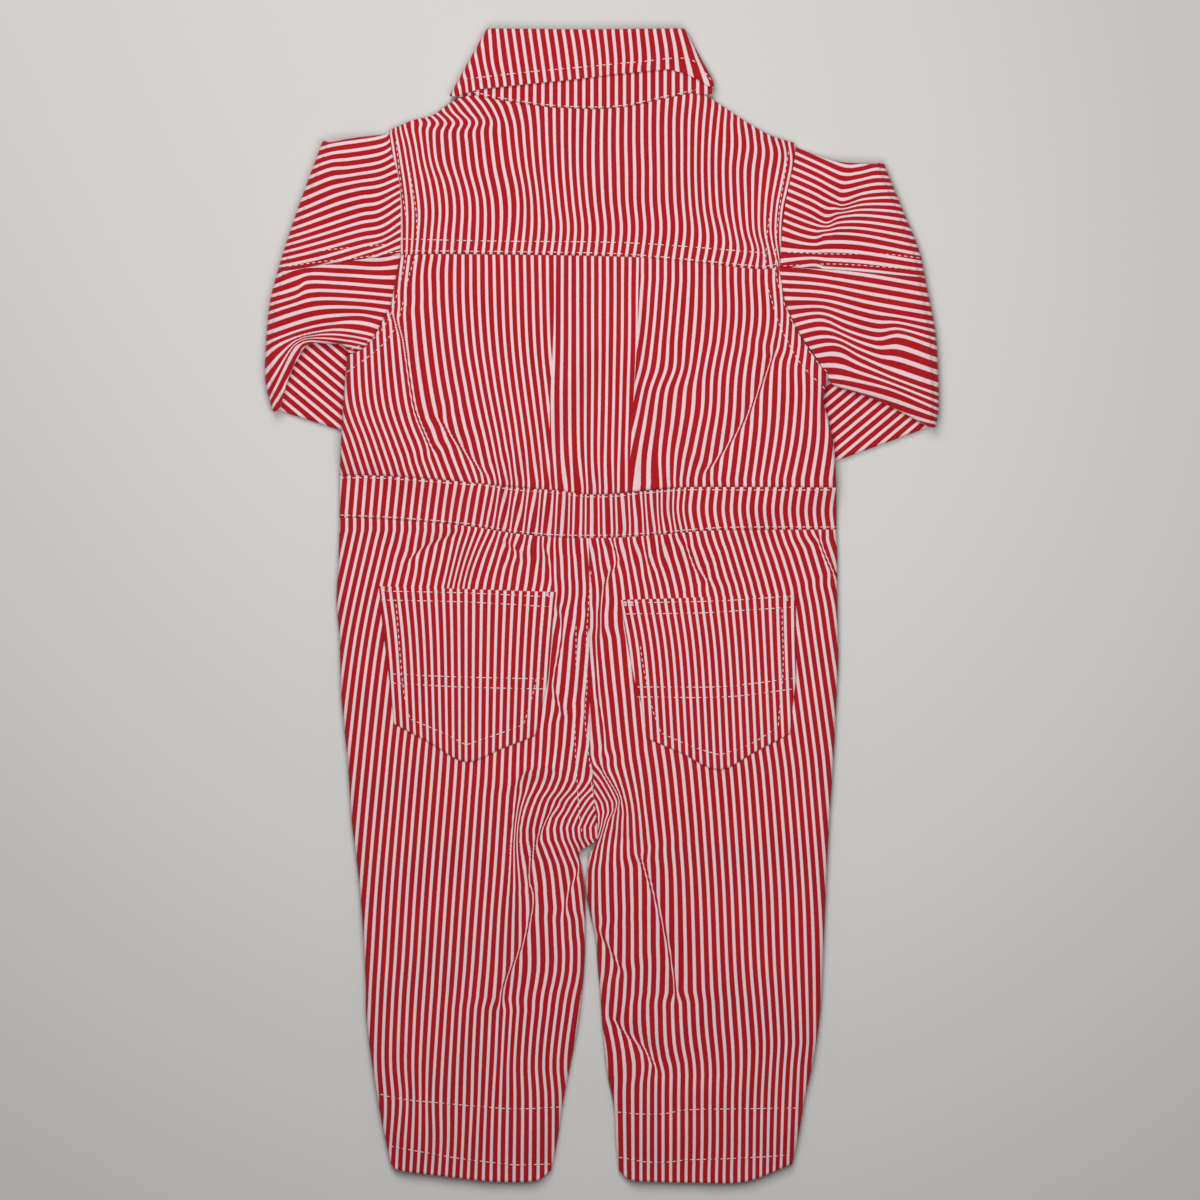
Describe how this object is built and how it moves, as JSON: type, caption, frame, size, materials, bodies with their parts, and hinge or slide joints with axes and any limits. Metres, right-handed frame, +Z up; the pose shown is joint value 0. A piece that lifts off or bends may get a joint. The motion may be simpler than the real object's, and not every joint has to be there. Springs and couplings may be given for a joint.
{
  "type": "boiler suit",
  "caption": "Baby's long-sleeved striped boiler suit with collar, gathered waistband and pointed seat pockets, laid flat face down with its sleeves folded under.",
  "frame": {"origin": "middle of the footprint on the surface that the garment lies on", "axes": "+Z up out of the garment's back, +Y from the hems towards the collar, +X towards the wearer's right arm"},
  "size_m": [0.3502, 0.6007, 0.0099],
  "materials": {
    "striped_twill": "matt cotton twill in fine lengthwise red and white stripes",
    "thread": "white cotton top-stitching thread"
  },
  "bodies": {
    "root": {"back_yoke": "striped_twill", "back_body": "striped_twill", "waistband_back": "striped_twill", "seat_left": "striped_twill", "seat_right": "striped_twill", "pocket_left": "striped_twill", "pocket_right": "striped_twill", "chest_left": "striped_twill", "chest_right": "striped_twill", "placket": "striped_twill", "waistband_front_left": "striped_twill", "waistband_front_right": "striped_twill", "front_leg_left": "striped_twill", "front_leg_right": "striped_twill", "sleeve_over_left": "striped_twill", "sleeve_under_left": "striped_twill", "sleeve_over_right": "striped_twill", "sleeve_under_right": "striped_twill", "collar_stand": "striped_twill", "collar_leaf": "striped_twill"}
  },
  "joints": []
}
